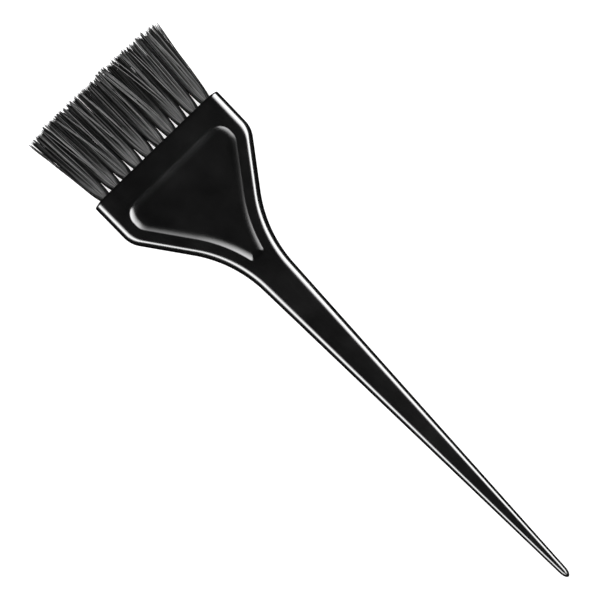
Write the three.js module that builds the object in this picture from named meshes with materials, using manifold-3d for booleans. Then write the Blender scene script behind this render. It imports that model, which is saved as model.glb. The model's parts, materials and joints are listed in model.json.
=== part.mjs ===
// A hair tint brush: one moulded handle with a flared head, and one row of ten filament tufts.
// Each tuft is folded over a short flat-wire anchor, deep in a blind hole of the head.
//
// Millimetres, +Z up. The brush lies on its flat underside at z = 0. Its bristles point to +Y, and y = 0 is the
// middle of its length. "Back" is a distance from the front of the head towards the tail.
import * as THREE from 'three';
import { mergeVertices } from 'three/addons/utils/BufferGeometryUtils.js';
import Module from 'manifold-3d';

const wasm = await Module();
wasm.setup();

// Driving dimensions

const LENGTH = 220;
const BRISTLE_LENGTH = 30.2;
const HANDLE_LENGTH = LENGTH - BRISTLE_LENGTH;
const FRONT_Y = LENGTH / 2 - BRISTLE_LENGTH;

// Handle outline, seen from above: half-widths, and how far back they are.
const FRONT_HALF = 24.5;
const FRONT_CORNER_SLOPE = 4.5;
const HEAD_HALF = 26.9;
const SHOULDER_HALF = 26.8;
const SHOULDER_BACK = 16.5;
const NECK_HALF = 7.05;
const NECK_BACK = 43.6;
const TAIL_HALF = 1.3;
const TAIL_BACK = 187;
const FRONT_CORNER_RADIUS = 0.6;
const SHOULDER_RADIUS = 9;
const NECK_RADIUS = 43;

// Handle section: a wedge, thickest at the front, with rounded long edges that get sharper along the tail.
const FRONT_THICKNESS = 8;
const TAIL_THICKNESS = 3;
const HEAD_EDGE_RADIUS = 3;
const TAIL_EDGE_RADIUS = 1.2;
const EDGE_TAPER_BACK = 33;
const FRONT_EDGE_RADIUS = 0.9;

// Sunken panel on both broad faces of the head. Its wall is a hollow curve, steepest at the panel's rim.
const PANEL_DEPTH = 0.7;
const PANEL_WALL = 2.6;
const PANEL_HOLLOW = 1.6;
const PANEL_FRONT = 7.6;
const PANEL_END = 48;
const PANEL_HALF = 21.7;
const PANEL_MARGIN = 4.9;
const PANEL_CORNER_RADIUS = 5;
const PANEL_SHOULDER_RADIUS = 5;
const PANEL_END_RADIUS = 1.3;
const PANEL_LEAST_RADIUS = 0.3;

// Tufts and the holes that they are set in.
const TUFT_COUNT = 10;
const TUFT_PITCH = 4.93;
const TIP_PITCH = 5.37;
const TUFT_Z = 3.9;
const TUFT_BASE_HALF = 1.95;
const TUFT_TIP_GAP = 0.4;
const TUFT_TIP_THICKNESS_HALF = 3.4;
const TUFT_CORNER_RADIUS = 1.3;
const TUFT_TIP_ROUNDING = 1;
const TUFT_TIP_NARROWING = 0.2;
const TUFT_TIP_THINNING = 0.3;
const ROW_CROWN = 1;
const HOLE_RADIUS = 2.1;
const HOLE_DEPTH = 9.5;

// A tuft bends about a line this far in front of the head, where its clamped root ends.
const FLEX_OUT = 4.35;
const CLEARANCE = 0.3;
const FLEX_CLEARANCE = 0.35;

// Flat-wire anchor: across the row's thickness, so that its ends bite into the head above and below the hole.
const ANCHOR_THICKNESS = 0.4;
const ANCHOR_WIDTH = 1.8;
const ANCHOR_LENGTH = 5.4;
const ANCHOR_POINT = 0.25;
const ANCHOR_BACK = 7.1;

// Fineness of the curved surfaces.
const CORNER_STEPS = 4;
const BEND_STEPS = 7;
const END_STEPS = 3;
const TAIL_STEPS = 5;
const PANEL_LEVELS = 3;
const HOLE_SIDES = 16;

// A rounded end stops this many degrees round its curve, so that its last ring doesn't shrink to a point.
const TAIL_LAST_ANGLE = 82;
const DOME_FIRST_ANGLE = 10;

// A section's corners take up no more than this share of its half-width, so that none of its sides vanishes.
const LARGEST_CORNER = 0.98;

// Cutters reach this far beyond the surface that they cut.
const OVERSHOOT = 1;

// Points closer together than this are the same point.
const SAME_POINT = 1e-5;

// Materials

const plastic = () => new THREE.MeshStandardMaterial({ color: 0x0b0b0c, roughness: 0.2, metalness: 0 });
const nylon = () => new THREE.MeshStandardMaterial({ color: 0x2b2b2d, roughness: 0.5, metalness: 0 });
const steel = () => new THREE.MeshStandardMaterial({ color: 0x9a9c9e, roughness: 0.35, metalness: 1 });

// Helpers for solids

function solidOf(geometry) {
  const bare = new THREE.BufferGeometry();
  bare.setAttribute('position', geometry.getAttribute('position'));
  bare.setIndex(geometry.getIndex());
  const merged = mergeVertices(bare, SAME_POINT);
  return new wasm.Manifold(new wasm.Mesh({
    numProp: 3,
    vertProperties: new Float32Array(merged.getAttribute('position').array),
    triVerts: new Uint32Array(merged.getIndex().array),
  }));
}

function geometryOf(solid) {
  const cut = solid.getMesh();
  const geometry = new THREE.BufferGeometry();
  geometry.setAttribute('position', new THREE.BufferAttribute(new Float32Array(cut.vertProperties), 3));
  geometry.setIndex(new THREE.BufferAttribute(new Uint32Array(cut.triVerts), 1));
  geometry.computeVertexNormals();
  return geometry;
}

function without(geometry, cutters) {
  return geometryOf(cutters.reduce((left, cutter) => left.subtract(solidOf(cutter)), solidOf(geometry)));
}

// A closed skin through rings that all have the same number of points. Each ring runs anticlockwise about the
// direction from the first ring to the last, and a fan about its middle closes each end.
function loft(rings) {
  const count = rings[0].length;
  const last = (rings.length - 1) * count;
  const middles = [rings[0], rings[rings.length - 1]].map((ring) => (
    ring.reduce((sum, p) => sum.addScaledVector(p, 1 / count), new THREE.Vector3())
  ));
  const [startMiddle, endMiddle] = [last + count, last + count + 1];
  const index = [];
  for (let i = 0; i < count; i += 1) {
    const next = (i + 1) % count;
    index.push(startMiddle, next, i, endMiddle, last + i, last + next);
    for (let ring = 0; ring < last; ring += count) {
      index.push(ring + i, ring + next, ring + next + count, ring + i, ring + next + count, ring + i + count);
    }
  }
  const geometry = new THREE.BufferGeometry().setFromPoints([...rings.flat(), ...middles]);
  geometry.setIndex(index);
  return geometry;
}

// A rounded rectangle across the brush at y. Its points run from +X over +Z.
function section({ y, x = 0, z, half, halfThickness, radius }) {
  const corner = Math.min(radius, half * LARGEST_CORNER, halfThickness * LARGEST_CORNER);
  const points = [];
  for (const [sideX, sideZ, start] of [[1, 1, 0], [-1, 1, 90], [-1, -1, 180], [1, -1, 270]]) {
    for (let step = 0; step <= CORNER_STEPS; step += 1) {
      const angle = THREE.MathUtils.degToRad(start + (90 * step) / CORNER_STEPS);
      points.push(new THREE.Vector3(
        x + sideX * (half - corner) + corner * Math.cos(angle),
        y,
        z + sideZ * (halfThickness - corner) + corner * Math.sin(angle),
      ));
    }
  }
  return points;
}

// Outline of the head and handle, as half-widths

const line = (half, back, slope) => ({ slope, at: (b) => half + slope * (b - back) });

// A line moved inwards by a margin that is measured square to it.
const inset = (edge, margin) => line(edge.at(0) - margin * Math.hypot(1, edge.slope), 0, edge.slope);

// The arc that rounds the corner where two lines meet.
function bend(first, second, radius) {
  const meet = (second.at(0) - first.at(0)) / (first.slope - second.slope);
  const before = Math.atan(first.slope);
  const after = Math.atan(second.slope);
  const outward = Math.sign(after - before);
  const reach = radius * Math.tan(Math.abs(after - before) / 2);
  const from = meet - reach * Math.cos(before);
  const to = meet + reach * Math.cos(after);
  const centreBack = from - outward * radius * Math.sin(before);
  const centreHalf = first.at(from) + outward * radius * Math.cos(before);
  return { from, to, at: (b) => centreHalf - outward * Math.sqrt(radius ** 2 - (b - centreBack) ** 2) };
}

// Lines from front to tail, with an arc of the matching radius at each corner between them.
function outline(lines, radii) {
  const bends = radii.map((radius, i) => bend(lines[i], lines[i + 1], radius));
  const at = (back) => {
    const i = bends.findIndex((b) => back < b.to);
    if (i < 0) return lines[bends.length].at(back);
    return back < bends[i].from ? lines[i].at(back) : bends[i].at(back);
  };
  return { at, bends };
}

function steps(from, to, count) {
  return Array.from({ length: count + 1 }, (_, i) => from + ((to - from) * i) / count);
}

const frontCorner = line(FRONT_HALF, 0, FRONT_CORNER_SLOPE);
const side = line(HEAD_HALF, 0, (SHOULDER_HALF - HEAD_HALF) / SHOULDER_BACK);
const diagonal = line(SHOULDER_HALF, SHOULDER_BACK, (NECK_HALF - SHOULDER_HALF) / (NECK_BACK - SHOULDER_BACK));
const shaft = line(NECK_HALF, NECK_BACK, (TAIL_HALF - NECK_HALF) / (TAIL_BACK - NECK_BACK));
const handleOutline = outline(
  [frontCorner, side, diagonal, shaft],
  [FRONT_CORNER_RADIUS, SHOULDER_RADIUS, NECK_RADIUS],
);

const thicknessAt = (back) => (
  THREE.MathUtils.mapLinear(back, 0, HANDLE_LENGTH, FRONT_THICKNESS, TAIL_THICKNESS)
);
const edgeRadiusAt = (back) => {
  const share = Math.max(0, back - EDGE_TAPER_BACK) / (HANDLE_LENGTH - EDGE_TAPER_BACK);
  return THREE.MathUtils.lerp(HEAD_EDGE_RADIUS, TAIL_EDGE_RADIUS, share);
};

// How much of a rounded end's full size is left, from 1 where the rounding starts to 0 at the very end.
const rounding = (share) => Math.sqrt(Math.max(0, 1 - share ** 2));

// Handle

function handleRing(back) {
  const thickness = thicknessAt(back);
  const tail = rounding(Math.max(0, (back - TAIL_BACK) / (HANDLE_LENGTH - TAIL_BACK)));
  const front = FRONT_EDGE_RADIUS * (1 - rounding(Math.max(0, 1 - back / FRONT_EDGE_RADIUS)));
  return section({
    y: FRONT_Y - back,
    z: thickness / 2,
    half: handleOutline.at(back) * tail,
    halfThickness: (thickness / 2) * tail - front,
    radius: edgeRadiusAt(back),
  });
}

function handleBlank() {
  const [corner, shoulder, neck] = handleOutline.bends;
  const front = steps(0, FRONT_EDGE_RADIUS, END_STEPS);
  const tail = steps(0, TAIL_LAST_ANGLE, TAIL_STEPS).map((angle) => (
    TAIL_BACK + (HANDLE_LENGTH - TAIL_BACK) * Math.sin(THREE.MathUtils.degToRad(angle))
  ));
  const backs = [
    ...front,
    ...steps(corner.from, corner.to, END_STEPS).filter((back) => back > FRONT_EDGE_RADIUS),
    PANEL_FRONT,
    ...steps(shoulder.from, shoulder.to, BEND_STEPS),
    ...steps(neck.from, neck.to, BEND_STEPS),
    ...steps(neck.to, TAIL_BACK, BEND_STEPS).slice(1, -1),
    ...tail,
  ];
  return loft(backs.map(handleRing));
}

// One level of the panel's hollow: its outline drawn in by the inset, sunk below the face by the drop.
function panelRing(drop, drawnIn, top) {
  const from = PANEL_FRONT + drawnIn;
  const to = PANEL_END - drawnIn;
  const margin = PANEL_MARGIN + drawnIn;
  const edge = outline(
    [line(PANEL_HALF - drawnIn, 0, 0), inset(diagonal, margin), inset(shaft, margin)],
    [PANEL_SHOULDER_RADIUS - drawnIn, NECK_RADIUS + margin],
  );
  const frontRadius = PANEL_CORNER_RADIUS - drawnIn;
  const endRadius = Math.max(PANEL_END_RADIUS - drawnIn, PANEL_LEAST_RADIUS);
  const halfAt = (back) => {
    const front = frontRadius * (1 - rounding(Math.max(0, 1 - (back - from) / frontRadius)));
    const end = endRadius * (1 - rounding(Math.max(0, 1 - (to - back) / endRadius)));
    return edge.at(back) - front - end;
  };
  const turn = steps(0, 90, CORNER_STEPS).map((angle) => 1 - Math.cos(THREE.MathUtils.degToRad(angle)));
  const backs = [
    ...turn.map((share) => from + frontRadius * share),
    ...steps(edge.bends[0].from, edge.bends[0].to, CORNER_STEPS).filter((back) => back > from + frontRadius),
    ...steps(edge.bends[1].from, to - endRadius, BEND_STEPS),
    ...turn.reverse().slice(1).map((share) => to - endRadius * share),
  ];
  const left = backs.map((back) => ({ half: halfAt(back), back }));
  const right = left.map(({ half, back }) => ({ half: -half, back })).reverse();
  return [...left, ...right].map(({ half, back }) => (
    top
      ? new THREE.Vector3(half, FRONT_Y - back, thicknessAt(back) - drop)
      : new THREE.Vector3(-half, FRONT_Y - back, drop)
  ));
}

function panelCutter(top) {
  const cove = steps(0, 1, PANEL_LEVELS).map((share) => ({
    drop: PANEL_DEPTH * (1 - (1 - share) ** PANEL_HOLLOW),
    drawnIn: PANEL_WALL * share,
  }));
  const levels = [{ drop: -OVERSHOOT, drawnIn: 0 }, ...cove];
  return loft(levels.map(({ drop, drawnIn }) => panelRing(drop, drawnIn, top)));
}

const tuftX = (number) => (number - (TUFT_COUNT + 1) / 2) * TUFT_PITCH;
const tuftTipX = (number) => (number - (TUFT_COUNT + 1) / 2) * TIP_PITCH;
const tuftNumbers = Array.from({ length: TUFT_COUNT }, (_, i) => i + 1);

function holeCutter(number) {
  const hole = new THREE.CylinderGeometry(HOLE_RADIUS, HOLE_RADIUS, HOLE_DEPTH + OVERSHOOT, HOLE_SIDES);
  return hole.translate(tuftX(number), FRONT_Y - (HOLE_DEPTH - OVERSHOOT) / 2, TUFT_Z);
}

// The room that an anchor takes up, and some to spare. It cuts the bite marks in the hole's walls, and the slot
// through the tuft.
function anchorCutter(number, spare) {
  const notch = new THREE.BoxGeometry(
    ANCHOR_THICKNESS + 2 * spare,
    ANCHOR_WIDTH + 2 * spare,
    ANCHOR_LENGTH + 2 * spare,
  );
  return notch.translate(tuftX(number), FRONT_Y - ANCHOR_BACK, TUFT_Z);
}

function handle() {
  const cutters = [
    panelCutter(true),
    panelCutter(false),
    ...tuftNumbers.map(holeCutter),
    ...tuftNumbers.map((number) => anchorCutter(number, CLEARANCE)),
  ];
  const mesh = new THREE.Mesh(without(handleBlank(), cutters), plastic());
  mesh.name = 'handle';
  return mesh;
}

// Anchors

function anchor(number) {
  const halfLength = ANCHOR_LENGTH / 2;
  const halfWidth = ANCHOR_WIDTH / 2;
  const shape = new THREE.Shape();
  shape.moveTo(halfLength - ANCHOR_POINT, halfWidth);
  shape.lineTo(-halfLength + ANCHOR_POINT, halfWidth);
  shape.lineTo(-halfLength, halfWidth - ANCHOR_POINT);
  shape.lineTo(-halfLength, -halfWidth + ANCHOR_POINT);
  shape.lineTo(-halfLength + ANCHOR_POINT, -halfWidth);
  shape.lineTo(halfLength - ANCHOR_POINT, -halfWidth);
  shape.lineTo(halfLength, -halfWidth + ANCHOR_POINT);
  shape.lineTo(halfLength, halfWidth - ANCHOR_POINT);
  const wire = new THREE.ExtrudeGeometry(shape, { depth: ANCHOR_THICKNESS, bevelEnabled: false });
  wire.translate(0, 0, -ANCHOR_THICKNESS / 2);
  const mesh = new THREE.Mesh(wire, steel());
  mesh.rotation.y = Math.PI / 2;
  mesh.position.set(tuftX(number), FRONT_Y - ANCHOR_BACK, TUFT_Z);
  mesh.name = `anchor_${String(number).padStart(2, '0')}`;
  return mesh;
}

// Tufts

// The clamped part of a tuft: it loops round its anchor in the hole, and stands a little way out of the head.
function tuftRoot(number) {
  const inside = HOLE_RADIUS - CLEARANCE;
  const bottom = -(HOLE_DEPTH - CLEARANCE);
  const top = FLEX_OUT - TUFT_BASE_HALF - FLEX_CLEARANCE;
  const profile = [
    [0, bottom],
    [inside, bottom],
    [inside, CLEARANCE],
    [TUFT_BASE_HALF, CLEARANCE],
    [TUFT_BASE_HALF, top],
    [0, top],
  ].map(([radius, out]) => new THREE.Vector2(radius, out));
  const plug = new THREE.LatheGeometry(profile, HOLE_SIDES);
  plug.translate(tuftX(number), FRONT_Y, TUFT_Z);
  const mesh = new THREE.Mesh(without(plug, [anchorCutter(number, CLEARANCE)]), nylon());
  mesh.name = `tuft_root_${String(number).padStart(2, '0')}`;
  return mesh;
}

// The free length of a tuft. Its lower end is rounded about the line that it bends on, to turn clear of the root.
function tuft(number) {
  const middle = (number - (TUFT_COUNT + 1) / 2) / ((TUFT_COUNT - 1) / 2);
  const length = BRISTLE_LENGTH - ROW_CROWN * Math.max(0, Math.abs(middle) - 1 / (TUFT_COUNT - 1)) ** 2;
  const tipHalf = (TIP_PITCH - TUFT_TIP_GAP) / 2;
  const ringAt = (out, swell) => {
    const share = Math.max(0, out) / BRISTLE_LENGTH;
    return section({
      y: FRONT_Y + out,
      x: THREE.MathUtils.lerp(tuftX(number), tuftTipX(number), share),
      z: TUFT_Z,
      half: THREE.MathUtils.lerp(TUFT_BASE_HALF, tipHalf, share) * swell.wide,
      halfThickness: THREE.MathUtils.lerp(TUFT_BASE_HALF, TUFT_TIP_THICKNESS_HALF, share) * swell.thick,
      radius: TUFT_CORNER_RADIUS,
    });
  };
  const dome = steps(DOME_FIRST_ANGLE, 90, END_STEPS).map((angle) => {
    const turned = THREE.MathUtils.degToRad(angle);
    return ringAt(FLEX_OUT - TUFT_BASE_HALF * Math.cos(turned), { wide: 1, thick: Math.sin(turned) });
  });
  const tip = steps(0, 1, END_STEPS).map((share) => (
    ringAt(length - TUFT_TIP_ROUNDING * (1 - share), {
      wide: 1 - TUFT_TIP_NARROWING * share ** 2,
      thick: 1 - TUFT_TIP_THINNING * share ** 2,
    })
  ));
  const rings = [...dome, ringAt((FLEX_OUT + length) / 2, { wide: 1, thick: 1 }), ...tip];
  const mesh = new THREE.Mesh(loft(rings.reverse()), nylon());
  mesh.name = `tuft_${String(number).padStart(2, '0')}`;
  return mesh;
}

// The whole brush

const brush = new THREE.Group();
brush.add(handle());
for (const number of tuftNumbers) {
  brush.add(anchor(number), tuftRoot(number), tuft(number));
}

export default brush;
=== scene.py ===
"""Looks for a hair tint brush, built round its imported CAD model.

The moulded handle is made again with a fine skin, and each tuft becomes a bundle of separate filaments,
folded in half over its flat-wire anchor. Everything is in metres, in the CAD model's frame: +Y from the
tail to the bristle tips, +X across the head, +Z up. "Back" is a distance from the front of the head
towards the tail.
"""

import json
import math

import bmesh
import bpy
import numpy as np
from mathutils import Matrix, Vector


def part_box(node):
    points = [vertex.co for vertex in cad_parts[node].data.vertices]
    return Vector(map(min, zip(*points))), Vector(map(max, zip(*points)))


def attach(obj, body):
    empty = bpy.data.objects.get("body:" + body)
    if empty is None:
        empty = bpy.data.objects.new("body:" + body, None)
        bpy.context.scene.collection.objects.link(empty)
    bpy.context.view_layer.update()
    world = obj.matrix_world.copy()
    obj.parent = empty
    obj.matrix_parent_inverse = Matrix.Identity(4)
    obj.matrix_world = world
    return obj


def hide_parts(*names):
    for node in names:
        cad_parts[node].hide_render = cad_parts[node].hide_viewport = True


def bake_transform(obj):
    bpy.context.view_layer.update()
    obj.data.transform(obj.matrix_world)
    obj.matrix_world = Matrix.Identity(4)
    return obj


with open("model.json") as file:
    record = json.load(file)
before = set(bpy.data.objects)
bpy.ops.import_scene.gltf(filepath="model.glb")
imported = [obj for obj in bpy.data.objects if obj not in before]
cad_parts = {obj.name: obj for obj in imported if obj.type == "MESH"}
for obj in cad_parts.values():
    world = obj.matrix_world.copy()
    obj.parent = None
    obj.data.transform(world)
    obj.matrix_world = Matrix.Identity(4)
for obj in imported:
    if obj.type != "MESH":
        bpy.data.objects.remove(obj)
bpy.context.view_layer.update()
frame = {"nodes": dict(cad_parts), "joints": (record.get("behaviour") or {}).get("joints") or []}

MM = 0.001

# The handle, in plan: half-widths, and how far back they are. Its ends come from the CAD node's box.
handle_low, handle_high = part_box("handle")
FRONT_Y = handle_high.y
HANDLE_LENGTH = handle_high.y - handle_low.y
FRONT_HALF = 24.5 * MM
FRONT_CORNER_SLOPE = 4.5
HEAD_HALF = 26.9 * MM
SHOULDER_HALF = 26.8 * MM
SHOULDER_BACK = 16.5 * MM
NECK_HALF = 7.05 * MM
NECK_BACK = 43.6 * MM
TAIL_HALF = 1.3 * MM
TAIL_BACK = 187 * MM
FRONT_CORNER_RADIUS = 0.6 * MM
SHOULDER_RADIUS = 9 * MM
NECK_RADIUS = 43 * MM

# The handle's section: a wedge with rounded long edges and a fine mould parting line round its middle.
FRONT_THICKNESS = 8 * MM
TAIL_THICKNESS = 3 * MM
HEAD_EDGE_RADIUS = 3 * MM
TAIL_EDGE_RADIUS = 1.2 * MM
EDGE_TAPER_BACK = 33 * MM
FRONT_EDGE_RADIUS = 0.9 * MM
PARTING_HEIGHT = 0.05 * MM
PARTING_WIDTH = 0.14 * MM

# The sunken panel on both broad faces. Its wall is a hollow curve, steepest just inside its soft rim.
PANEL_DEPTH = 0.7 * MM
PANEL_WALL = 2.6 * MM
PANEL_HOLLOW = 1.6
PANEL_RIM = 0.4 * MM
PANEL_FRONT = 7.6 * MM
PANEL_END = 48 * MM
PANEL_HALF = 21.7 * MM
PANEL_MARGIN = 4.9 * MM
PANEL_CORNER_RADIUS = 5.0 * MM
PANEL_END_RADIUS = 1.3 * MM
PANEL_SIDE_BLEND = 1.2 * MM

# The tufts, their holes and their anchors.
HOLE_RADIUS = 2.1 * MM
HOLE_DEPTH = 9.5 * MM
HOLE_SIDES = 40
ANCHOR_NOTCH = (1.0 * MM, 2.4 * MM, 6.0 * MM)
ANCHOR_BACK = 7.1 * MM
ANCHOR_BOTTOM = 8.0 * MM
BRISTLE_LENGTH = 29.1 * MM
LONGEST_BRISTLE = 30.2 * MM
ROW_CROWN = 0.8 * MM
ROW_FAN = 0.44 * MM
ANCHOR_ROOM = 0.32 * MM
FILAMENT_RADIUS = 0.1 * MM
FILAMENT_SIDES = 5
FILAMENTS_PER_TUFT = 112
BUNDLE_RADIUS = 1.86 * MM
SEED = 4105


# Outline of the head and handle -----------------------------------------------------------------------


class Line:
    """A straight edge in plan, as a half-width that changes with the distance back."""

    def __init__(self, half, back, slope):
        self.half, self.back, self.slope = half, back, slope

    def at(self, back):
        return self.half + self.slope * (back - self.back)


class Bend:
    """The arc that rounds the corner where two lines meet."""

    def __init__(self, first, second, radius):
        meet = (second.at(0) - first.at(0)) / (first.slope - second.slope)
        before, after = math.atan(first.slope), math.atan(second.slope)
        self.outward = math.copysign(1, after - before)
        reach = radius * math.tan(abs(after - before) / 2)
        self.radius = radius
        self.start = meet - reach * math.cos(before)
        self.end = meet + reach * math.cos(after)
        self.centre_back = self.start - self.outward * radius * math.sin(before)
        self.centre_half = first.at(self.start) + self.outward * radius * math.cos(before)

    def at(self, back):
        inside = np.maximum(self.radius**2 - (back - self.centre_back) ** 2, 0)
        return self.centre_half - self.outward * np.sqrt(inside)

    def inward(self, half, back):
        """How far inside the arc a point is."""
        away = np.hypot(half - self.centre_half, back - self.centre_back)
        return self.outward * (away - self.radius)


front_corner = Line(FRONT_HALF, 0, FRONT_CORNER_SLOPE)
side = Line(HEAD_HALF, 0, (SHOULDER_HALF - HEAD_HALF) / SHOULDER_BACK)
diagonal = Line(SHOULDER_HALF, SHOULDER_BACK, (NECK_HALF - SHOULDER_HALF) / (NECK_BACK - SHOULDER_BACK))
shaft = Line(NECK_HALF, NECK_BACK, (TAIL_HALF - NECK_HALF) / (TAIL_BACK - NECK_BACK))
corner_bend = Bend(front_corner, side, FRONT_CORNER_RADIUS)
shoulder_bend = Bend(side, diagonal, SHOULDER_RADIUS)
neck_bend = Bend(diagonal, shaft, NECK_RADIUS)


def half_width(back):
    """The handle's half-width, before its tail is rounded off."""
    reaches = [corner_bend.start, corner_bend.end, shoulder_bend.start, shoulder_bend.end, neck_bend.start]
    edges = [front_corner, corner_bend, side, shoulder_bend, diagonal, neck_bend]
    conditions = [back < reach for reach in reaches] + [back < neck_bend.end]
    return np.select(conditions, [edge.at(back) for edge in edges], shaft.at(back))


def inward_distance(half, back):
    """How far a point is inside the handle's outline, measured square to the edge."""
    along = 1 / math.hypot(1, diagonal.slope)

    def from_line(edge):
        return (edge.at(back) - half) / math.hypot(1, edge.slope)

    def past(bend, reach):
        """How far a point lies along the diagonal past the bend's tangent point at that reach."""
        return ((back - reach) + (half - bend.at(reach)) * diagonal.slope) * along

    conditions = [
        back < shoulder_bend.start,
        past(shoulder_bend, shoulder_bend.end) < 0,
        past(neck_bend, neck_bend.start) < 0,
        back < neck_bend.end,
    ]
    distances = [
        from_line(side),
        shoulder_bend.inward(half, back),
        from_line(diagonal),
        neck_bend.inward(half, back),
    ]
    return np.select(conditions, distances, from_line(shaft))


def round_corner(first, second, radius):
    """The lesser of two distances inside square edges, with their corner rounded."""
    corner = radius - np.hypot(np.maximum(radius - first, 0), np.maximum(radius - second, 0))
    return np.where((first < radius) & (second < radius), corner, np.minimum(first, second))


def smooth_least(first, second, reach):
    """The lesser of two distances, blended where they are nearly equal."""
    near = np.maximum(reach - np.abs(first - second), 0) / reach
    return np.minimum(first, second) - near**2 * reach / 4


def panel_drop(half, back):
    """How deep the sunken panel is at a point."""
    inside = smooth_least(inward_distance(half, back) - PANEL_MARGIN, PANEL_HALF - half, PANEL_SIDE_BLEND)
    inside = round_corner(inside, back - PANEL_FRONT, PANEL_CORNER_RADIUS)
    inside = round_corner(inside, PANEL_END - back, PANEL_END_RADIUS)
    rim = np.clip(inside / PANEL_RIM, 0, 1)
    eased = np.where(inside < PANEL_RIM, rim**2 * PANEL_RIM / 2, inside - PANEL_RIM / 2)
    share = np.clip(eased / PANEL_WALL, 0, 1)
    return PANEL_DEPTH * (1 - (1 - share) ** PANEL_HOLLOW)


def quarter_round(share):
    """From 0 to 1: what is left of a rounded end's full size, this share of the way to its very end."""
    return np.sqrt(np.maximum(1 - np.clip(share, 0, 1) ** 2, 0))


# Mesh helpers -----------------------------------------------------------------------------------------


def new_piece(name, mesh, material):
    piece = bpy.data.objects.new(name, mesh)
    bpy.context.scene.collection.objects.link(piece)
    mesh.materials.append(material)
    return piece


def skin(rings):
    """The vertices and faces of a closed skin through rings of points, an array of (ring, point, xyz)."""
    count, around = rings.shape[:2]
    index = np.arange(count * around).reshape(count, around)
    following = np.roll(index, -1, axis=1)
    quads = np.stack([index[:-1], following[:-1], following[1:], index[1:]], axis=-1).reshape(-1, 4)
    caps = [index[0][::-1].tolist(), index[-1].tolist()]
    return rings.reshape(-1, 3), quads.tolist() + caps


def cut(piece, cutter):
    """Takes the cutter's shape out of the piece, and removes the cutter."""
    modifier = piece.modifiers.new("cut", "BOOLEAN")
    modifier.operation = "DIFFERENCE"
    modifier.solver = "EXACT"
    modifier.object = cutter
    graph = bpy.context.evaluated_depsgraph_get()
    done = bpy.data.meshes.new_from_object(piece.evaluated_get(graph))
    piece.modifiers.remove(modifier)
    piece.data = done
    bpy.data.objects.remove(cutter)


def crease(mesh, degrees):
    """Smooth shading, apart from edges that turn by more than this."""
    edit = bmesh.new()
    edit.from_mesh(mesh)
    bmesh.ops.recalc_face_normals(edit, faces=edit.faces)
    for face in edit.faces:
        face.smooth = True
    for edge in edit.edges:
        edge.smooth = len(edge.link_faces) == 2 and edge.calc_face_angle(0) < math.radians(degrees)
    edit.to_mesh(mesh)
    edit.free()


# Materials --------------------------------------------------------------------------------------------


def new_material(name):
    material = bpy.data.materials.new(name)
    material.use_nodes = True
    return material, material.node_tree, material.node_tree.nodes["Principled BSDF"]


def node(tree, kind, settings=None, **inputs):
    """A node with its settings, and its inputs set to values or joined to other nodes' outputs."""
    made = tree.nodes.new(kind)
    for key, value in (settings or {}).items():
        setattr(made, key, value)
    for key, value in inputs.items():
        socket = made.inputs[key.replace("_", " ")]
        if isinstance(value, bpy.types.NodeSocket):
            tree.links.new(value, socket)
        else:
            socket.default_value = value
    return made


def mapped(tree, stretch=(1, 1, 1)):
    """Coordinates in the piece's own frame, stretched."""
    place = node(tree, "ShaderNodeTexCoord")
    return node(tree, "ShaderNodeMapping", Vector=place.outputs["Object"], Scale=stretch).outputs["Vector"]


def noise(tree, size, detail=3, stretch=(1, 1, 1)):
    """Noise with features about this many metres across."""
    made = node(tree, "ShaderNodeTexNoise", Vector=mapped(tree, stretch), Scale=1 / size, Detail=detail)
    return made.outputs["Fac"]


def ranged(tree, value, low, high):
    """Noise, which is mostly from 0.3 to 0.7, spread over a range of values."""
    settings = {"clamp": True}
    made = node(tree, "ShaderNodeMapRange", settings, Value=value)
    made.inputs["From Min"].default_value = 0.3
    made.inputs["From Max"].default_value = 0.7
    made.inputs["To Min"].default_value = low
    made.inputs["To Max"].default_value = high
    return made.outputs["Result"]


def ramp(tree, value, stops):
    """A colour that goes through the stops, each a place and a grey or a colour."""
    made = node(tree, "ShaderNodeValToRGB", Fac=value)
    elements = made.color_ramp.elements
    while len(elements) < len(stops):
        elements.new(0.5)
    for element, (place, colour) in zip(elements, stops, strict=True):
        element.position = place
        element.color = (*colour, 1)
    return made.outputs["Color"]


def maths(tree, operation, first, second):
    made = node(tree, "ShaderNodeMath", {"operation": operation})
    for socket, value in zip(made.inputs, (first, second), strict=False):
        if isinstance(value, bpy.types.NodeSocket):
            tree.links.new(value, socket)
        else:
            socket.default_value = value
    return made.outputs["Value"]


def bumped(tree, shader, height, distance):
    made = node(tree, "ShaderNodeBump", Height=height, Distance=distance, Strength=1.0)
    tree.links.new(made.outputs["Normal"], shader.inputs["Normal"])


def black_plastic():
    """Glossy moulded plastic: near black, with a faint moulding ripple, smudges and hairline scratches."""
    material, tree, shader = new_material("black_plastic")
    shader.inputs["IOR"].default_value = 1.53
    deep, worn = (0.0024, 0.0024, 0.0025), (0.0038, 0.0038, 0.0039)
    colour = ramp(tree, noise(tree, 6 * MM), [(0.35, deep), (0.65, worn)])
    tree.links.new(colour, shader.inputs["Base Color"])
    smudges = ranged(tree, noise(tree, 14 * MM, 4), 0.15, 0.2)
    scratches = ranged(tree, noise(tree, 0.16 * MM, 2, (1, 0.012, 1)), -0.012, 0.012)
    roughness = maths(tree, "ADD", smudges, scratches)
    tree.links.new(roughness, shader.inputs["Roughness"])
    broad = noise(tree, 2.2 * MM, 1)
    fine = maths(tree, "MULTIPLY", noise(tree, 0.3 * MM, 2), 0.12)
    bumped(tree, shader, maths(tree, "ADD", broad, fine), 0.006 * MM)
    return material


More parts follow.
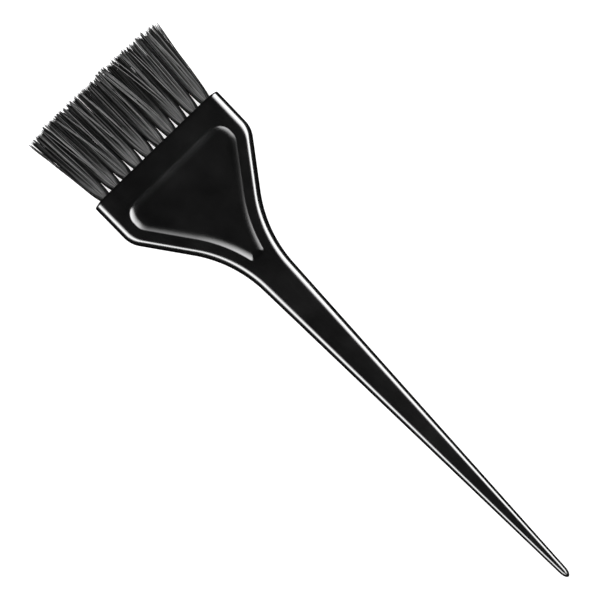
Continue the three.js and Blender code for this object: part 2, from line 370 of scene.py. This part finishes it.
def bristle_nylon():
    """Dark grey nylon: each filament has its own shade, which holds random tones and painted shade on strand
    edges and tuft sides, and all are paler near the root.
    """
    material, tree, shader = new_material("bristle_nylon")
    shader.inputs["IOR"].default_value = 1.5
    shader.inputs["Specular IOR Level"].default_value = 0.05
    # The shade attribute holds random tones plus painted shade: darker strand edges and darker tuft sides.
    shade = node(tree, "ShaderNodeAttribute", {"attribute_name": "shade"}).outputs["Fac"]
    along = node(tree, "ShaderNodeAttribute", {"attribute_name": "along"}).outputs["Fac"]
    streak = ranged(tree, noise(tree, 0.5 * MM, 2, (1, 0.1, 1)), 0.85, 1.15)
    greys = [(0.0, 0.0005), (0.25, 0.006), (0.5, 0.055), (0.75, 0.155), (1.0, 0.32)]
    own = ramp(tree, shade, [(place, (grey, grey, grey)) for place, grey in greys])
    fade = ramp(tree, along, [(0.0, (1, 1, 1)), (0.2, (0.85, 0.85, 0.85)), (1.0, (0.68, 0.68, 0.68))])
    mixed = node(tree, "ShaderNodeMix", {"data_type": "RGBA", "blend_type": "MULTIPLY"})
    mixed.inputs["Factor"].default_value = 1
    tree.links.new(own, mixed.inputs["A"])
    tree.links.new(fade, mixed.inputs["B"])
    tinted = node(tree, "ShaderNodeVectorMath", {"operation": "SCALE"}, Scale=streak)
    tree.links.new(mixed.outputs["Result"], tinted.inputs[0])
    tree.links.new(tinted.outputs["Vector"], shader.inputs["Base Color"])
    tree.links.new(ranged(tree, noise(tree, 0.8 * MM, 2), 0.34, 0.5), shader.inputs["Roughness"])
    return material


def anchor_steel():
    """Bright drawn flat wire, with drawing lines along its length."""
    material, tree, shader = new_material("anchor_wire")
    shader.inputs["Metallic"].default_value = 1
    lines = noise(tree, 0.08 * MM, 3, (1, 1, 0.02))
    colour = ramp(tree, lines, [(0.3, (0.42, 0.42, 0.43)), (0.7, (0.62, 0.62, 0.63))])
    tree.links.new(colour, shader.inputs["Base Color"])
    tree.links.new(ranged(tree, lines, 0.25, 0.42), shader.inputs["Roughness"])
    bumped(tree, shader, lines, 0.004 * MM)
    return material


def white_paper():
    """Seamless white backdrop paper."""
    material, tree, shader = new_material("white_paper")
    colour = ramp(tree, noise(tree, 0.4 * MM, 3), [(0.3, (0.5, 0.5, 0.5)), (0.7, (0.54, 0.54, 0.54))])
    tree.links.new(colour, shader.inputs["Base Color"])
    shader.inputs["Roughness"].default_value = 0.9
    shader.inputs["Specular IOR Level"].default_value = 0.1
    shader.inputs["Emission Color"].default_value = (1, 1, 1, 1)
    shader.inputs["Emission Strength"].default_value = 0.8
    return material


# Handle -----------------------------------------------------------------------------------------------


def handle_stations():
    """How far back each ring of the handle's skin is: close together wherever the shape changes."""
    front = FRONT_EDGE_RADIUS * (1 - np.cos(np.linspace(0, math.pi / 2, 9)))
    stretches = [
        (front[-1], 1.4 * MM, 7),
        (1.4 * MM, PANEL_FRONT, 12),
        (PANEL_FRONT, PANEL_FRONT + PANEL_CORNER_RADIUS, 22),
        (PANEL_FRONT + PANEL_CORNER_RADIUS, shoulder_bend.end, 14),
        (shoulder_bend.end, PANEL_END - 4 * MM, 34),
        (PANEL_END - 4 * MM, PANEL_END, 18),
        (PANEL_END, neck_bend.end, 12),
        (neck_bend.end, TAIL_BACK, 60),
    ]
    tail = TAIL_BACK + (HANDLE_LENGTH - TAIL_BACK) * np.sin(np.linspace(0, math.pi / 2 - 0.06, 14))
    between = [np.linspace(start, end, count + 1)[1:] for start, end, count in stretches]
    return np.concatenate([front, *between, tail[1:]])


def face_lines(back, flat):
    """Half-widths of the skin's lines across a broad face, from its edge to its middle.

    They are closest over the panel's wall, and follow it round the bends.
    """
    bends = [shoulder_bend.start, shoulder_bend.end, neck_bend.start, neck_bend.end]
    slope = np.interp(back, bends, [side.slope, diagonal.slope, diagonal.slope, shaft.slope])
    panel_edge = np.minimum(half_width(back) - PANEL_MARGIN * np.hypot(1, slope), PANEL_HALF)
    outer = np.maximum(panel_edge, 0.62 * flat)
    inner = np.maximum(panel_edge - PANEL_WALL * np.hypot(1, slope), 0.25 * flat)
    rim = [flat + (outer - flat) * share for share in np.linspace(0, 1, 6)[1:]]
    wall = [outer + (inner - outer) * share**1.3 for share in np.linspace(0, 1, 15)[1:]]
    floor = [inner * (1 - share**1.6) for share in np.linspace(0, 1, 11)[1:]]
    return np.stack(rim + wall + floor, axis=-1)


def handle_rings():
    """The rings of the handle's skin, an array of (ring, point, xyz)."""
    back = handle_stations()
    thickness = FRONT_THICKNESS + (TAIL_THICKNESS - FRONT_THICKNESS) * back / HANDLE_LENGTH
    tail = quarter_round((back - TAIL_BACK) / (HANDLE_LENGTH - TAIL_BACK))
    front = FRONT_EDGE_RADIUS * (1 - quarter_round(1 - back / FRONT_EDGE_RADIUS))
    wide = half_width(back) * tail
    high = thickness / 2 * tail - front
    middle = thickness / 2
    share = np.maximum(back - EDGE_TAPER_BACK, 0) / (HANDLE_LENGTH - EDGE_TAPER_BACK)
    edge = HEAD_EDGE_RADIUS + (TAIL_EDGE_RADIUS - HEAD_EDGE_RADIUS) * share
    edge = np.minimum(edge, 0.97 * np.minimum(wide, high))
    ridge = PARTING_HEIGHT * np.clip(back / MM - 1, 0, 1) * tail
    straight = high - edge

    # A quarter of the section: from the parting line up over the rounded edge, and across to the middle.
    flank_half = [wide + ridge, wide + ridge * 0.6, wide, wide]
    line = np.minimum(PARTING_WIDTH, straight * 0.4)
    flank_up = [0 * wide, line * 0.5, line, (line + straight) / 2]
    turn = np.linspace(0, math.pi / 2, 11)
    edge_half = [wide - edge * (1 - math.cos(angle)) for angle in turn]
    edge_up = [straight + edge * math.sin(angle) for angle in turn]
    flat = wide - edge
    face_half = face_lines(back, flat)
    drop = panel_drop(face_half, back[:, None])
    halves = np.concatenate([np.stack(flank_half + edge_half, axis=-1), face_half], axis=-1)
    ups = np.concatenate([np.stack(flank_up + edge_up, axis=-1), high[:, None] - drop], axis=-1)

    # The other three quarters mirror it.
    loop_half = np.concatenate([halves, -halves[:, -2::-1], -halves[:, 1:], halves[:, -2:0:-1]], axis=-1)
    loop_up = np.concatenate([ups, ups[:, -2::-1], -ups[:, 1:], -ups[:, -2:0:-1]], axis=-1)
    y = np.broadcast_to((FRONT_Y - back)[:, None], loop_half.shape)
    return np.stack([loop_half, y, middle[:, None] + loop_up], axis=-1)


def holes_cutter(tuft_places):
    """The round holes that the tufts are set in."""
    edit = bmesh.new()
    for place in tuft_places:
        made = bmesh.ops.create_cone(
            edit,
            cap_ends=True,
            segments=HOLE_SIDES,
            radius1=HOLE_RADIUS,
            radius2=HOLE_RADIUS,
            depth=2 * HOLE_DEPTH,
        )
        along_y = Vector((0, 1, 0)).to_track_quat("Z", "X").to_matrix()
        bmesh.ops.rotate(edit, verts=made["verts"], matrix=along_y)
        bmesh.ops.translate(edit, verts=made["verts"], vec=(place.x, FRONT_Y, place.z))
    mesh = bpy.data.meshes.new("holes")
    edit.to_mesh(mesh)
    edit.free()
    cutter = bpy.data.objects.new("holes", mesh)
    bpy.context.scene.collection.objects.link(cutter)
    return cutter


def notches_cutter(tuft_places):
    """The bite marks that the anchors' ends make in the walls of the holes."""
    edit = bmesh.new()
    for place in tuft_places:
        made = bmesh.ops.create_cube(edit, size=1)
        bmesh.ops.scale(edit, verts=made["verts"], vec=ANCHOR_NOTCH)
        bmesh.ops.translate(edit, verts=made["verts"], vec=(place.x, FRONT_Y - ANCHOR_BACK, place.z))
    mesh = bpy.data.meshes.new("notches")
    edit.to_mesh(mesh)
    edit.free()
    cutter = bpy.data.objects.new("notches", mesh)
    bpy.context.scene.collection.objects.link(cutter)
    return cutter


def build_handle(tuft_places, material):
    vertices, faces = skin(handle_rings())
    mesh = bpy.data.meshes.new("handle_moulding")
    mesh.from_pydata(vertices.tolist(), [], faces)
    piece = new_piece("handle_moulding", mesh, material)
    cut(piece, holes_cutter(tuft_places))
    cut(piece, notches_cutter(tuft_places))
    crease(piece.data, 40)
    return piece


# Tufts ------------------------------------------------------------------------------------------------


def bundle_places(count, radius, phase):
    """Evenly packed places on the +X half of a round bundle, from a sunflower spiral."""
    golden = math.pi * (3 - math.sqrt(5))
    order = np.arange(2 * count)
    away = radius * np.sqrt((order + 0.5) / (2 * count))
    x, z = away * np.cos(order * golden + phase), away * np.sin(order * golden + phase)
    right = x > 0
    return x[right], z[right]


def leg_heights(lengths):
    """Heights above the head of the points on each free leg: close together over the stretch that bends."""
    bending = np.array([-6, -3, -0.6, 0.4, 1.4, 2.5, 3.6, 4.7, 5.8, 7.0, 8.6]) * MM
    upper = np.array([0.14, 0.29, 0.44, 0.58, 0.71, 0.83, 0.93, 1.0])
    free = bending[-1] + (lengths[:, None] - bending[-1]) * upper
    return np.concatenate([np.broadcast_to(bending, (len(lengths), len(bending))), free], axis=1)


def tubes(paths, radii, sides):
    """Closed tubes along paths, an array of (tube, point, xyz), as vertices and faces."""
    count, points = paths.shape[:2]
    tangent = np.gradient(paths, axis=1)
    tangent /= np.linalg.norm(tangent, axis=-1, keepdims=True)
    up = np.array([0, 0, 1.0])
    across = up - tangent * (tangent @ up)[..., None]
    across /= np.linalg.norm(across, axis=-1, keepdims=True)
    third = np.cross(tangent, across)
    turn = np.arange(sides) * 2 * math.pi / sides
    ring = np.cos(turn)[:, None] * across[:, :, None] + np.sin(turn)[:, None] * third[:, :, None]
    vertices = paths[:, :, None] + ring * radii[:, :, None, None]
    index = np.arange(count * points * sides).reshape(count, points, sides)
    following = np.roll(index, -1, axis=2)
    corners = [index[:, :-1], index[:, 1:], following[:, 1:], following[:, :-1]]
    quads = np.stack(corners, axis=-1).reshape(-1, 4)
    caps = index[:, 0].tolist() + index[:, -1, ::-1].tolist()
    return vertices.reshape(-1, 3), quads.tolist() + caps


def smooth(low, high, value):
    """From 0 at low to 1 at high, with a soft start and end."""
    share = np.clip((value - low) / (high - low), 0, 1)
    return share * share * (3 - 2 * share)


def tuft_strands(rng, u, v):
    """Sorts a tuft's legs into strands.

    Gives each strand's place, each leg's strand, and how central the leg is in it, all round and sideways.
    The sideways measure is later used to paint shade along the strands' edges.
    """
    wide, deep = 5, 3
    grid_u, grid_v = np.meshgrid(np.arange(wide), np.arange(deep))
    staggered = (grid_v.ravel() % 2 - 0.5) / wide
    strand_u = (2 * grid_u.ravel() + 1) / wide - 1 + staggered + rng.normal(0, 0.06, wide * deep)
    strand_v = (2 * grid_v.ravel() + 1) / deep - 1 + rng.normal(0, 0.08, wide * deep)
    du = (u[:, None] - strand_u) * wide
    dv = (v[:, None] - strand_v) * deep
    strand = np.argmin(du**2 + dv**2, axis=1)
    row = np.arange(len(u))
    central = 1 - np.clip(np.hypot(du, dv)[row, strand] / 1.3, 0, 1)
    # 1 in a strand's middle and 0 at its edges; later used as painted shade that darkens the strands' edges.
    sideways = 1 - np.clip(np.abs(du[row, strand]), 0, 1)
    return strand_u, strand_v, strand, central, sideways


def stray_lean(rng, number, count, u, v):
    """How far each leg leans sideways and upwards at its tip.

    Most don't, apart from a few wisps on top and stray hairs at the two ends of the row.
    """
    lean_x, lift = np.zeros(len(u)), np.zeros(len(u))
    for _ in range(rng.integers(0, 3)):
        start = rng.uniform(-0.5, 0.9)
        nearest = np.argsort((u - start) ** 2 + 0.3 * (1 - v) ** 2)[: rng.integers(3, 5)]
        lean_x[nearest] = -rng.uniform(1.2, 4.2) * MM + rng.normal(0, 0.1 * MM, len(nearest))
        lift[nearest] = 0.7 * MM
    if number in (1, count):
        outward = -1 if number == 1 else 1
        outermost = np.argsort(-outward * u)[:26]
        strays = rng.permutation(outermost)[:9]
        lean_x[strays] = outward * rng.uniform(0.3, 1.7, len(strays)) * MM
        lift[strays] = 0
    return lean_x, lift


def tuft_paths(number, place, count):
    """Centrelines of a tuft's filaments, with each point's radius, share of the way out, and shade."""
    rng = np.random.default_rng(SEED + number)
    x, z = bundle_places(FILAMENTS_PER_TUFT, BUNDLE_RADIUS, number)
    filaments = len(x)
    middle = number - (count + 1) / 2
    u = np.concatenate([x, -x]) / BUNDLE_RADIUS + rng.normal(0, 0.02, 2 * filaments)
    v = np.concatenate([z, z]) / BUNDLE_RADIUS + rng.normal(0, 0.02, 2 * filaments)
    square_u = np.clip(u / np.sqrt(np.maximum(1 - v**2, 0.12)), -1.05, 1.05)
    strand_u, strand_v, strand, central, sideways = tuft_strands(rng, square_u, v)
    strands = len(strand_u)
    lean_x, lift = stray_lean(rng, number, count, square_u, v)
    loose = lean_x != 0

    lengths = BRISTLE_LENGTH - ROW_CROWN * (2 * middle / (count - 1)) ** 4
    lengths = lengths + rng.normal(0, 0.42 * MM, strands)[strand] + (central - 0.4) * 1.4 * MM
    lengths = np.minimum(lengths + rng.normal(0, 0.22 * MM, len(u)), LONGEST_BRISTLE)
    height = leg_heights(lengths)
    out = np.maximum(height, 0)
    share = out / LONGEST_BRISTLE
    settle = 1 - np.exp(-out / (2.8 * MM))

    # The round bundle spreads to fill its place in the row, and its strands gather towards their tips.
    half_wide = BUNDLE_RADIUS + 0.64 * MM * settle + 0.4 * MM * share
    half_high = BUNDLE_RADIUS + 1.2 * MM * share**0.9
    gather = np.where(loose, 0.1, 0.5)[:, None] * share**0.9
    across = u[:, None] + (square_u - u)[:, None] * settle
    across = across + (strand_u[strand][:, None] - across) * gather
    flank = 1 - 0.3 * np.abs(square_u[:, None]) ** 3 * (1 - share)
    upward = (v[:, None] + (strand_v[strand][:, None] - v[:, None]) * gather) * flank
    curve = share**1.4
    strand_lean = rng.normal(0, 0.22 * MM, strands)[strand]
    strand_rise = rng.normal(0, 0.25 * MM, strands)[strand]
    own_lean = rng.normal(0, 0.14 * MM, len(u))
    own_rise = rng.normal(0, 0.2 * MM, len(u))
    wave = 0.05 * MM * np.sin(out / (2.6 * MM) + rng.uniform(0, 2 * math.pi, len(u))[:, None]) * settle
    leg_x = place.x + middle * ROW_FAN * share + across * half_wide + wave
    leg_x = leg_x + (strand_lean + own_lean + lean_x)[:, None] * curve
    leg_z = place.z + upward * half_high + (strand_rise + own_rise + lift)[:, None] * curve

    # Inside the hole the legs part round the anchor.
    near = np.clip(-height / (6 * MM), 0, 1)
    parted = np.sign(u) * (ANCHOR_ROOM + np.abs(u) * (BUNDLE_RADIUS - ANCHOR_ROOM))
    leg_x = leg_x * (1 - near) + (place.x + parted[:, None]) * near
    legs = np.stack([leg_x, FRONT_Y + height, leg_z], axis=-1)

    # The fold under the anchor joins each pair of legs.
    right, left = legs[:filaments], legs[filaments:]
    bend = np.radians([0, 30, 60, 90, 120, 150, 180])
    reach = parted[:filaments, None]
    fold_x = place.x + reach * np.cos(bend)
    fold_y = FRONT_Y - ANCHOR_BOTTOM - (0.15 * MM + 0.6 * reach) * np.sin(bend)
    fold_z = right[:, :1, 2] + (left[:, :1, 2] - right[:, :1, 2]) * (1 - np.cos(bend)) / 2
    fold = np.stack([fold_x, fold_y, fold_z], axis=-1)

    def joined(values, rooted):
        """A leg's values, the fold's and the other leg's, in order along each filament."""
        middle_part = np.broadcast_to(rooted, (filaments, len(bend)))
        return np.concatenate([values[:filaments, ::-1], middle_part, values[filaments:]], axis=1)

    paths = np.concatenate([right[:, ::-1], fold, left], axis=1)
    to_tip = joined(lengths[:, None] - height, LONGEST_BRISTLE)
    radii = FILAMENT_RADIUS * (0.5 + 0.5 * np.clip(to_tip / (2.5 * MM), 0, 1))

    # Shade: even near the root, with random tones. Towards the tips each strand is paler in its middle, with
    # painted shade along its edges.
    # The two sides of each tuft carry painted shade, where the grooves between tufts lie in shadow, and its
    # loose wisps are palest.
    # Painted shade: darkens the two sides of each tuft, where the grooves between neighbouring tufts fall in
    # shadow, fading towards the tips.
    flank_shade_mask = smooth(0.62, 0.98, np.abs(square_u))[:, None]
    seam_painted_shade = 1 - flank_shade_mask * (0.95 - 0.5 * smooth(0.6, 1.0, share))
    even = 0.68 + rng.normal(0, 0.13, len(u))
    # Random tones per strand and per filament, plus painted shade: filaments at each strand's edges are
    # darker and its middle paler.
    streaks_and_shade = 0.82 * sideways**0.9 - 0.06 + rng.normal(0, 0.08, strands)[strand]
    streaks_and_shade = streaks_and_shade + rng.normal(0, 0.14, len(u))
    streaks_and_shade = np.where(loose, 0.85, streaks_and_shade)
    shade = (even[:, None] + (streaks_and_shade - even)[:, None] * smooth(0.08, 0.5, share)) * seam_painted_shade
    shade = np.clip(shade, 0, 1)
    return paths, radii, joined(share, 0.0), joined(shade, 0.5)


def build_tuft(number, place, count, material):
    paths, radii, along, shade = tuft_paths(number, place, count)
    vertices, faces = tubes(paths, radii, FILAMENT_SIDES)
    name = f"filaments_{number:02d}"
    mesh = bpy.data.meshes.new(name)
    mesh.from_pydata(vertices.tolist(), [], faces)
    mesh.shade_smooth()
    for label, values in (("along", along), ("shade", shade)):
        layer = mesh.attributes.new(label, "FLOAT", "POINT")
        layer.data.foreach_set("value", np.repeat(values.reshape(-1), FILAMENT_SIDES).astype(np.float32))
    return new_piece(name, mesh, material)


# Stage ------------------------------------------------------------------------------------------------


def build_floor(material):
    """Backdrop paper under the brush.

    It curves down past the head, as over the edge of a table, to give the bristles room to bend down. Bent
    all the way, they still sink 1.7 mm into it.
    """
    reach, drop = 4.0, 34 * MM
    start, end = FRONT_Y - 1.8 * MM, FRONT_Y + 54 * MM
    share = np.linspace(0, 1, 41)
    y = np.concatenate([[-reach], start + (end - start) * share, [reach]])
    z = np.concatenate([[0], -drop * share**2 * (3 - 2 * share), [-drop]])
    vertices = [(x, a, b) for x in (-reach, reach) for a, b in zip(y, z, strict=True)]
    count = len(y)
    faces = [(i, i + count, i + count + 1, i + 1) for i in range(count - 1)]
    mesh = bpy.data.meshes.new("floor")
    mesh.from_pydata(vertices, [], faces)
    mesh.shade_smooth()
    floor = new_piece("floor", mesh, material)
    floor.visible_glossy = False


def build_light(name, place, aim, size, power, diffuse=True, glossy=True):
    """A soft box of this width and height, facing the aim."""
    light = bpy.data.lights.new(name, "AREA")
    light.shape = "RECTANGLE"
    light.size, light.size_y = size
    light.energy = power
    lamp = bpy.data.objects.new(name, light)
    lamp.location = place
    lamp.rotation_euler = (Vector(aim) - Vector(place)).to_track_quat("-Z", "Y").to_euler()
    lamp.visible_camera = False
    lamp.visible_diffuse = diffuse
    lamp.visible_glossy = glossy
    bpy.context.scene.collection.objects.link(lamp)
    return light


def fade(tree, value, dark, bright, power=1.0):
    """From 0 at the dark value to 1 at the bright value and beyond, along a curve of this power."""
    made = node(tree, "ShaderNodeMapRange", {"clamp": True}, Value=value)
    made.inputs["From Min"].default_value = dark
    made.inputs["From Max"].default_value = bright
    return maths(tree, "POWER", made.outputs["Result"], power)


def feather(light, fades):
    """Soft edges for a light: fades that run across its face, each in a direction of (width, height).

    The fades multiply.
    """
    light.use_nodes = True
    tree = light.node_tree
    surface = node(tree, "ShaderNodeNewGeometry").outputs["Parametric"]
    strength = 1.0
    for direction, dark, bright, power in fades:
        reach = node(tree, "ShaderNodeVectorMath", {"operation": "DOT_PRODUCT"})
        tree.links.new(surface, reach.inputs[0])
        reach.inputs[1].default_value = (*direction, 0)
        faded = fade(tree, reach.outputs["Value"], dark, bright, power)
        strength = maths(tree, "MULTIPLY", faded, strength)
    tree.links.new(strength, tree.nodes["Emission"].inputs["Strength"])


def build_lights():
    world = bpy.data.worlds.new("studio")
    bpy.context.scene.world = world
    world.use_nodes = True
    background = world.node_tree.nodes["Background"]
    background.inputs["Color"].default_value = (1, 1, 1, 1)
    background.inputs["Strength"].default_value = 1.0
    world.cycles_visibility.glossy = False
    build_light("overhead", (0, 0, 1.6), (0, 0.03, 0), (1.2, 1.2), 6, glossy=False)

    # Two long upright reflectors beside the brush give its edges their highlights. They fade towards their
    # tops and towards the bristles' end, and their lower edges rise towards the tail's end. On the right one
    # the width runs from the rear to the front, and on the left one from the front to the rear.
    away, top, low, front, rear = 0.5, 1.7, 0.02, 0.5, -1.9
    middle = (front + rear) / 2, (top + low) / 2
    size = (front - rear, top - low)
    right = build_light("right_reflector", (away, *middle), (0, *middle), size, 316, diffuse=False)
    left = build_light("left_reflector", (-away, *middle), (0, *middle), size, 300, diffuse=False)
    right_front = ((1, 0), 1.6, 0.8, 1.0)
    right_top = ((1, 1), 1.712, 1.052, 2.0)
    right_low = ((1, 1), 0.823, 0.873, 1.0)
    feather(right, [right_front, right_top, right_low])
    left_top = ((-0.6, 1), 0.425, 0.075, 1.5)
    left_low = ((-0.8, 1), -0.146, -0.023, 1.0)
    left_low_front = ((1.5, 1), 0.262, 0.342, 1.0)
    feather(left, [left_top, left_low, left_low_front])


def build_camera():
    """Straight above, with the brush's axis leaning to the left, and a long lens."""
    lens, sensor, view_width = 200, 36, 190.3 * MM
    lean = math.radians(44.05)
    camera = bpy.data.cameras.new("camera")
    camera.lens, camera.sensor_width = lens, sensor
    camera.clip_start, camera.clip_end = 0.01, 20
    eye = bpy.data.objects.new("camera", camera)
    eye.location = (-0.3 * MM, FRONT_Y - 66.7 * MM, view_width * lens / sensor + FRONT_THICKNESS)
    eye.rotation_euler = (0, 0, -lean)
    bpy.context.scene.collection.objects.link(eye)
    bpy.context.scene.camera = eye
    bpy.context.scene.view_settings.view_transform = "Standard"


# The brush --------------------------------------------------------------------------------------------

flexes = sorted(frame["joints"], key=lambda joint: joint["name"])
tuft_places = [Vector(joint["pos_m"]) for joint in flexes]

handle = build_handle(tuft_places, black_plastic())
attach(handle, "handle")
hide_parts("handle")

nylon = bristle_nylon()
for number, (flex, place) in enumerate(zip(flexes, tuft_places, strict=True), 1):
    filaments = build_tuft(number, place, len(flexes), nylon)
    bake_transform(filaments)
    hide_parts(f"tuft_{number:02d}", f"tuft_root_{number:02d}")

steel = anchor_steel()
for name, cad_node in frame["nodes"].items():
    if name.startswith("anchor_"):
        for slot in cad_node.material_slots:
            slot.material = steel

build_floor(white_paper())
build_lights()
build_camera()
